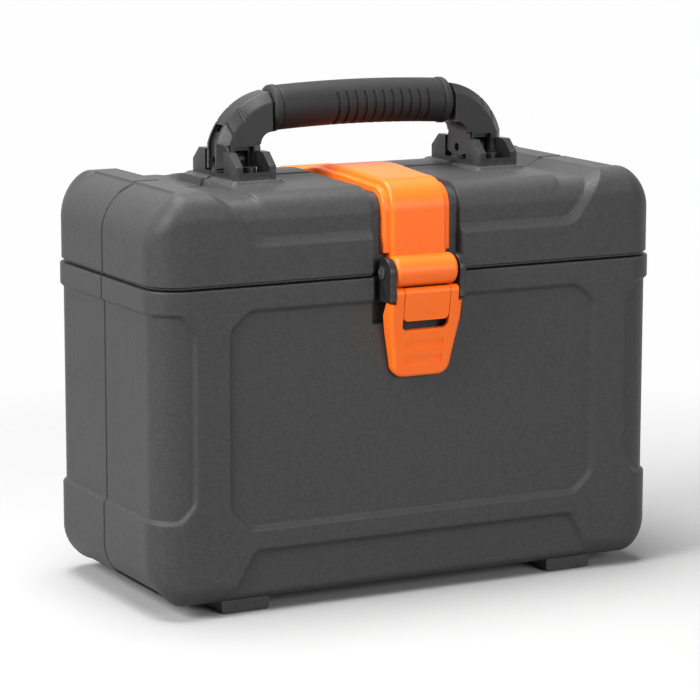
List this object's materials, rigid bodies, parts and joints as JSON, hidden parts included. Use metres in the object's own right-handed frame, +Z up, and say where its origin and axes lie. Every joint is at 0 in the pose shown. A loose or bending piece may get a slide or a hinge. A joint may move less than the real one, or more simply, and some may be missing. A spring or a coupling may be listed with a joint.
{
  "type": "hard tool case",
  "caption": "Hard moulded tool case with rounded guards, rear-hinged lid, an orange strap with a front draw latch, and an arched carrying handle with a ribbed rubber grip.",
  "frame": {"origin": "on the floor, under the middle of the case's overall box", "axes": "+X to the right seen from the latch side, +Y to the rear, away from the latch, +Z up"},
  "size_m": [0.33, 0.179, 0.295],
  "materials": {
    "shell_plastic": "fine textured charcoal moulding",
    "orange_plastic": "smooth satin moulding",
    "black_plastic": "satin moulding",
    "grip_rubber": "matte with ribs",
    "seal_rubber": "matte",
    "steel": "plain zinc-plated"
  },
  "bodies": {
    "case": {"body_front_shell": "shell_plastic", "body_rear_shell": "shell_plastic", "body_screw_upper_left": "steel", "body_screw_upper_right": "steel", "body_screw_lower_left": "steel", "body_screw_lower_right": "steel", "foot_front_left": "shell_plastic", "foot_front_right": "shell_plastic", "foot_rear_left": "shell_plastic", "foot_rear_right": "shell_plastic", "foot_screw_front_left": "steel", "foot_screw_front_right": "steel", "foot_screw_rear_left": "steel", "foot_screw_rear_right": "steel", "latch_keeper": "steel", "keeper_rivet_left": "steel", "keeper_rivet_right": "steel", "hinge_pin_left": "steel", "hinge_pin_right": "steel"},
    "lid": {"lid_front_shell": "shell_plastic", "lid_rear_shell": "shell_plastic", "lid_screw_left": "steel", "lid_screw_right": "steel", "lid_seal": "seal_rubber", "latch_strap": "orange_plastic", "strap_screw_left": "steel", "strap_screw_right": "steel", "latch_pin": "black_plastic", "handle_bracket_left": "black_plastic", "handle_bracket_right": "black_plastic", "bracket_screw_front_left": "steel", "bracket_screw_front_right": "steel", "bracket_screw_rear_left": "steel", "bracket_screw_rear_right": "steel"},
    "handle": {"handle_leg_left": "black_plastic", "handle_leg_right": "black_plastic", "handle_core": "steel", "handle_grip": "grip_rubber", "handle_pin_left": "steel", "handle_pin_right": "steel"},
    "latch_link": {"latch_link": "black_plastic"},
    "latch_lever": {"latch_lever": "orange_plastic"},
    "latch_slide": {"latch_slide": "orange_plastic"}
  },
  "joints": [
    {"name": "lid_hinge", "type": "hinge", "parent": "case", "child": "lid", "pos_m": [0, 0.084, 0.189], "axis": [-1, 0, 0], "range_deg": [0, 105]},
    {"name": "handle_lean", "type": "hinge", "parent": "lid", "child": "handle", "pos_m": [0, 0, 0.251], "axis": [1, 0, 0], "range_deg": [-15, 15]},
    {"name": "latch_swing", "type": "hinge", "parent": "lid", "child": "latch_link", "pos_m": [0, -0.0803, 0.1915], "axis": [-1, 0, 0], "range_deg": [0, 120]},
    {"name": "lever_pull", "type": "hinge", "parent": "latch_link", "child": "latch_lever", "pos_m": [0, -0.0855, 0.1796], "axis": [-1, 0, 0], "range_deg": [0, 80]},
    {"name": "slide_press", "type": "slide", "parent": "latch_lever", "child": "latch_slide", "axis": [0, 0.1625, -0.9867], "range_m": [0, 0.0045], "stiffness_N_per_m": 300, "springref_m": -0.002}
  ]
}
